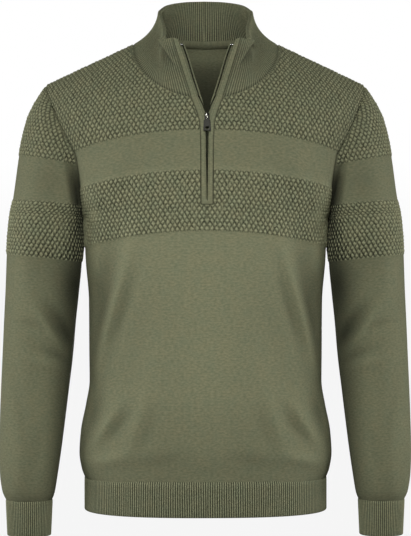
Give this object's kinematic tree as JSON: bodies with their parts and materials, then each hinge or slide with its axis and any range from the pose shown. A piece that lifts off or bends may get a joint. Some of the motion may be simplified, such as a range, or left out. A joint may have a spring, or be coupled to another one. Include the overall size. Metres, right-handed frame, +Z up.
{
  "type": "quarter zip sweater",
  "caption": "Long-sleeved knitted sweater with a stand collar and a short front zip, shown filled out as worn, with open neck, hem and cuffs.",
  "frame": {"origin": "midway between the two high shoulder points, where the neckline meets the shoulder seams and the wearer's shoulders carry the garment", "axes": "+Z up, +X to the wearer's left, -Y out of the chest"},
  "size_m": [0.5932, 0.2394, 0.779],
  "materials": {
    "knit": "olive green cotton jersey with bands of honeycomb stitch",
    "rib": "fine olive green cotton rib",
    "tape": "woven olive green tape with a dark coil",
    "metal": "dark gunmetal, polished edges"
  },
  "bodies": {
    "garment": {"front": "knit", "back": "knit", "sleeve_left": "knit", "sleeve_right": "knit", "collar": "rib", "hem_band": "rib", "cuff_left": "rib", "cuff_right": "rib", "placket_left": "knit", "placket_right": "knit", "zip_tape_left": "tape", "zip_tape_right": "tape", "zip_slider": "metal", "neck_tape": "tape"},
    "pull": {"zip_pull": "metal"}
  },
  "joints": [
    {"name": "pull_swing", "type": "hinge", "parent": "garment", "child": "pull", "pos_m": [0, -0.1241, -0.11211], "axis": [-1, 0, 0], "range_deg": [0, 170]}
  ]
}
